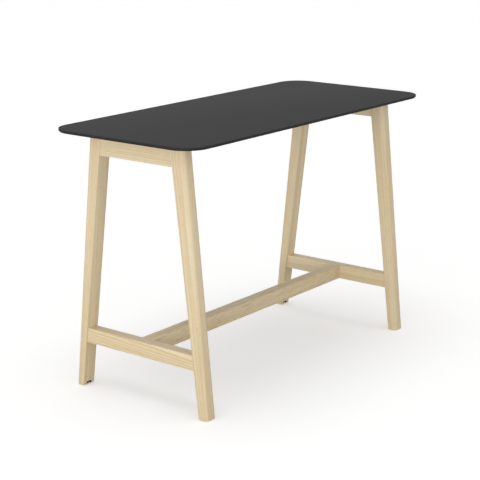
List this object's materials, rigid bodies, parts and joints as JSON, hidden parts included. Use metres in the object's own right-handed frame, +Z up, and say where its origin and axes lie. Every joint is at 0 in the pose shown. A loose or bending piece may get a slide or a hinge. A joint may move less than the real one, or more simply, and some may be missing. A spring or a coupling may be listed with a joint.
{
  "type": "standing meeting table",
  "caption": "Standing-height meeting table: a thin dark laminate top with rounded corners on ash A-shaped end frames, a low stretcher and screw levelling glides.",
  "frame": {"origin": "on the floor under the middle of the table, with the glides screwed right in", "axes": "+X along the length of the top, +Y across it towards the rear, +Z up"},
  "size_m": [1.6, 0.7, 1.05],
  "materials": {
    "ash": "matt lacquered ash",
    "laminate": "matt compact laminate, charcoal face on a black core",
    "beech": "plain beech",
    "black_steel": "fine matt black powder coat",
    "zinc_steel": "bright zinc plated",
    "black_oxide": "black oxide, oiled",
    "brass": "turned brass",
    "black_plastic": "moulded, matt"
  },
  "bodies": {
    "frame": {"stretcher": "ash", "upper_rail_left": "ash", "upper_rail_right": "ash", "lower_rail_left": "ash", "lower_rail_right": "ash", "leg_front_left": "ash", "leg_rear_left": "ash", "leg_front_right": "ash", "leg_rear_right": "ash", "table_top": "laminate", "upper_rail_tenons": "beech", "lower_rail_tenons": "beech", "stretcher_dowels": "beech", "beam_front": "black_steel", "beam_rear": "black_steel", "beam_plates": "black_steel", "top_bracket_left": "black_steel", "top_bracket_right": "black_steel", "plate_screws": "zinc_steel", "beam_top_screws": "zinc_steel", "bracket_top_screws": "zinc_steel", "bracket_wood_screws": "zinc_steel", "stretcher_studs": "zinc_steel", "stud_nuts": "zinc_steel", "stud_half_moons": "zinc_steel", "stud_inserts": "zinc_steel", "rail_inserts": "zinc_steel", "glide_inserts": "zinc_steel", "top_inserts": "brass", "foot_liners": "black_plastic"},
    "pad_front_left": {"glide_pad_front_left": "black_plastic"},
    "stem_front_left": {"glide_stem_front_left": "black_oxide"},
    "pad_rear_left": {"glide_pad_rear_left": "black_plastic"},
    "stem_rear_left": {"glide_stem_rear_left": "black_oxide"},
    "pad_front_right": {"glide_pad_front_right": "black_plastic"},
    "stem_front_right": {"glide_stem_front_right": "black_oxide"},
    "pad_rear_right": {"glide_pad_rear_right": "black_plastic"},
    "stem_rear_right": {"glide_stem_rear_right": "black_oxide"}
  },
  "joints": [
    {"name": "glide_travel_front_left", "type": "slide", "parent": "frame", "child": "pad_front_left", "axis": [0, 0, -1], "range_m": [0, 0.01]},
    {"name": "glide_turn_front_left", "type": "hinge", "parent": "pad_front_left", "child": "stem_front_left", "pos_m": [-0.672, -0.316, 0.01], "axis": [0, 0, -1], "range_deg": [0, 2880]},
    {"name": "glide_travel_rear_left", "type": "slide", "parent": "frame", "child": "pad_rear_left", "axis": [0, 0, -1], "range_m": [0, 0.01]},
    {"name": "glide_turn_rear_left", "type": "hinge", "parent": "pad_rear_left", "child": "stem_rear_left", "pos_m": [-0.672, 0.316, 0.01], "axis": [0, 0, -1], "range_deg": [0, 2880]},
    {"name": "glide_travel_front_right", "type": "slide", "parent": "frame", "child": "pad_front_right", "axis": [0, 0, -1], "range_m": [0, 0.01]},
    {"name": "glide_turn_front_right", "type": "hinge", "parent": "pad_front_right", "child": "stem_front_right", "pos_m": [0.672, -0.316, 0.01], "axis": [0, 0, -1], "range_deg": [0, 2880]},
    {"name": "glide_travel_rear_right", "type": "slide", "parent": "frame", "child": "pad_rear_right", "axis": [0, 0, -1], "range_m": [0, 0.01]},
    {"name": "glide_turn_rear_right", "type": "hinge", "parent": "pad_rear_right", "child": "stem_rear_right", "pos_m": [0.672, 0.316, 0.01], "axis": [0, 0, -1], "range_deg": [0, 2880]}
  ],
  "couplings": [
    {"joint": "glide_travel_front_left", "follows": "glide_turn_front_left", "m_per_rad": 0.00019894},
    {"joint": "glide_travel_rear_left", "follows": "glide_turn_rear_left", "m_per_rad": 0.00019894},
    {"joint": "glide_travel_front_right", "follows": "glide_turn_front_right", "m_per_rad": 0.00019894},
    {"joint": "glide_travel_rear_right", "follows": "glide_turn_rear_right", "m_per_rad": 0.00019894}
  ]
}
